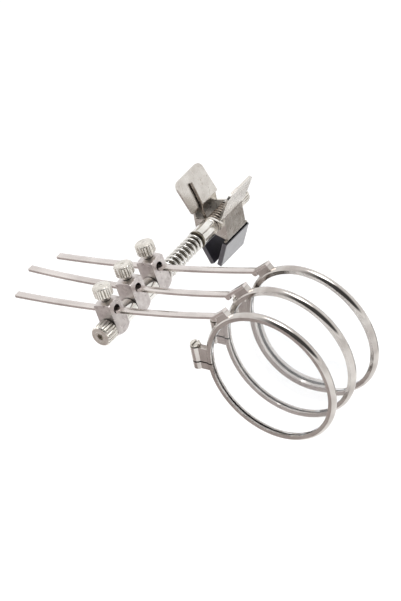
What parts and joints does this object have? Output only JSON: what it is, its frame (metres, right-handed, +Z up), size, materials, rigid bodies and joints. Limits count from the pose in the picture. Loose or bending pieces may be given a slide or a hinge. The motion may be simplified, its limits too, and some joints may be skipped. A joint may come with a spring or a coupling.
{
  "type": "clip-on lens holder",
  "caption": "Spring clip carrying a long screw with swivelling square blocks; each block clamps a bowed sliding rod that ends in a round rim with a lens.",
  "frame": {"origin": "middle of the line where the tips of the clip's two pads meet", "axes": "+X from the blocks towards the rims, +Y along the long screw from its knob to the clip, +Z up, along the thumb screws"},
  "size_m": [0.1219, 0.0847, 0.0573],
  "materials": {
    "pressed_sheet": "nickel plated sheet, lightly brushed",
    "pad_rubber": "satin dipped rubber",
    "spring_wire": "bright drawn wire",
    "plated_screws": "nickel plated, knurled",
    "polished_collar": "polished nickel plate",
    "dark_washer": "dark steel",
    "plated_block": "tumbled nickel plate",
    "plated_rod": "nickel plated strip",
    "polished_rim": "polished nickel plate",
    "lens_glass": "clear polished glass"
  },
  "bodies": {
    "clip": {"jaw_fixed": "pressed_sheet", "pad_fixed": "pad_rubber", "torsion_spring": "spring_wire", "collar": "polished_collar", "washer": "dark_washer", "compression_spring": "spring_wire"},
    "moving_jaw": {"jaw_moving": "pressed_sheet", "pad_moving": "pad_rubber"},
    "screw": {"pivot_screw": "plated_screws", "spacer_sleeve_1": "polished_collar", "spacer_sleeve_2": "polished_collar"},
    "end_nut": {"end_nut": "plated_screws"},
    "block_1": {"block_1": "plated_block"},
    "thumb_screw_1": {"thumb_screw_1": "plated_screws"},
    "arm_1": {"rod_1": "plated_rod", "rim_1": "polished_rim", "lens_1": "lens_glass"},
    "closing_screw_1": {"closing_screw_1": "plated_screws"},
    "block_2": {"block_2": "plated_block"},
    "thumb_screw_2": {"thumb_screw_2": "plated_screws"},
    "arm_2": {"rod_2": "plated_rod", "rim_2": "polished_rim", "lens_2": "lens_glass"},
    "closing_screw_2": {"closing_screw_2": "plated_screws"},
    "block_3": {"block_3": "plated_block"},
    "thumb_screw_3": {"thumb_screw_3": "plated_screws"},
    "arm_3": {"rod_3": "plated_rod", "rim_3": "polished_rim", "lens_3": "lens_glass"},
    "closing_screw_3": {"closing_screw_3": "plated_screws"}
  },
  "joints": [
    {"name": "jaw_open", "type": "hinge", "parent": "clip", "child": "moving_jaw", "pos_m": [0.00277, 0, 0.01423], "axis": [0, -1, 0], "range_deg": [0, 28], "stiffness_Nm_per_rad": 0.03, "springref_deg": -34.38, "deforming": ["torsion_spring"]},
    {"name": "screw_turn", "type": "hinge", "parent": "clip", "child": "screw", "pos_m": [0.00277, 0, 0.01423], "axis": [0, 1, 0], "continuous": true},
    {"name": "end_nut_turn", "type": "hinge", "parent": "screw", "child": "end_nut", "pos_m": [0.00277, 0.00625, 0.01423], "axis": [0, 1, 0], "continuous": true},
    {"name": "arm_1_swing", "type": "hinge", "parent": "clip", "child": "block_1", "pos_m": [0.00277, -0.06215, 0.01423], "axis": [0, -1, 0], "continuous": true},
    {"name": "arm_1_slide", "type": "hinge", "parent": "block_1", "child": "arm_1", "pos_m": [0.02277, -0.06215, 0.46849], "axis": [0, -1, 0], "range_deg": [-2.8, 2.8]},
    {"name": "thumb_screw_1_turn", "type": "hinge", "parent": "block_1", "child": "thumb_screw_1", "pos_m": [0.00277, -0.06215, 0.02323], "axis": [0, 0, 1], "continuous": true},
    {"name": "closing_screw_1_turn", "type": "hinge", "parent": "arm_1", "child": "closing_screw_1", "pos_m": [0.03229, -0.06215, 0.00248], "axis": [0.1736, 0, 0.9848], "continuous": true},
    {"name": "arm_2_swing", "type": "hinge", "parent": "clip", "child": "block_2", "pos_m": [0.00277, -0.0498, 0.01423], "axis": [0, -1, 0], "continuous": true},
    {"name": "arm_2_slide", "type": "hinge", "parent": "block_2", "child": "arm_2", "pos_m": [0.02407, -0.0498, 0.35631], "axis": [0, -1, 0], "range_deg": [-3.73, 3.73]},
    {"name": "thumb_screw_2_turn", "type": "hinge", "parent": "block_2", "child": "thumb_screw_2", "pos_m": [0.00277, -0.0498, 0.02323], "axis": [0, 0, 1], "continuous": true},
    {"name": "closing_screw_2_turn", "type": "hinge", "parent": "arm_2", "child": "closing_screw_2", "pos_m": [0.03239, -0.0498, 0.00388], "axis": [0.1736, 0, 0.9848], "continuous": true},
    {"name": "arm_3_swing", "type": "hinge", "parent": "clip", "child": "block_3", "pos_m": [0.00277, -0.03745, 0.01423], "axis": [0, -1, 0], "continuous": true},
    {"name": "arm_3_slide", "type": "hinge", "parent": "block_3", "child": "arm_3", "pos_m": [0.01047, -0.03745, 0.57878], "axis": [0, -1, 0], "range_deg": [-2.25, 2.25]},
    {"name": "thumb_screw_3_turn", "type": "hinge", "parent": "block_3", "child": "thumb_screw_3", "pos_m": [0.00277, -0.03745, 0.02323], "axis": [0, 0, 1], "continuous": true},
    {"name": "closing_screw_3_turn", "type": "hinge", "parent": "arm_3", "child": "closing_screw_3", "pos_m": [0.03309, -0.03745, 0.00388], "axis": [0.1736, 0, 0.9848], "continuous": true}
  ]
}
